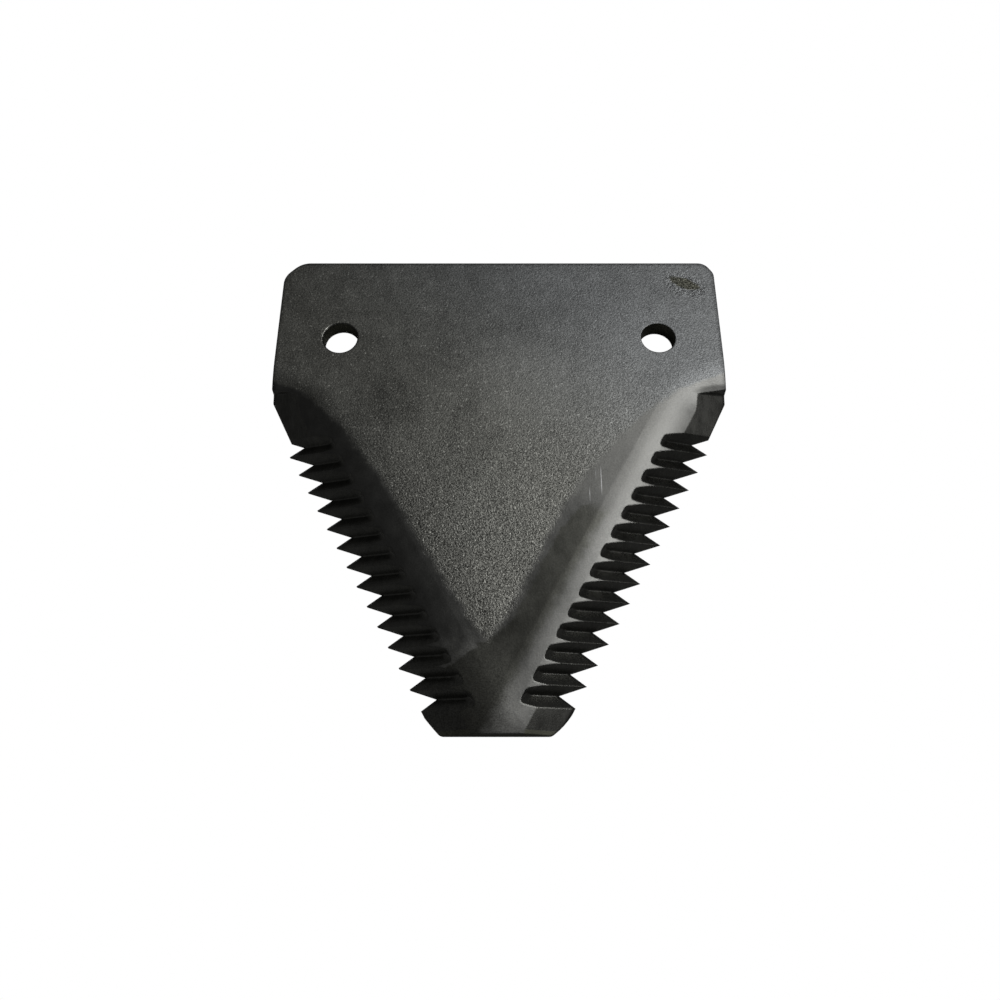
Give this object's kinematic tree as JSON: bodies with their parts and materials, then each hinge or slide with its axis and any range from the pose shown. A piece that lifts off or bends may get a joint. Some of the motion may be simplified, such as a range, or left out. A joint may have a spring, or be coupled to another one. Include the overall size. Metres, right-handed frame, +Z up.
{
  "type": "sickle section",
  "caption": "Steel knife section for a sickle bar mower: a flat tapering plate with rivet holes across its heel and a ground bevel cut into saw teeth along each flank.",
  "frame": {"origin": "midway between the two rivet holes, on the flat underside", "axes": "+Z up from the underside through the plate, -Y toward the cutting point, +X toward the right-hand flank"},
  "size_m": [0.0754, 0.0816, 0.0032],
  "materials": {
    "steel": "dark shot-blasted land, smoother rolled shoulders, ground teeth"
  },
  "bodies": {
    "root": {"sickle_section": "steel"}
  },
  "joints": []
}
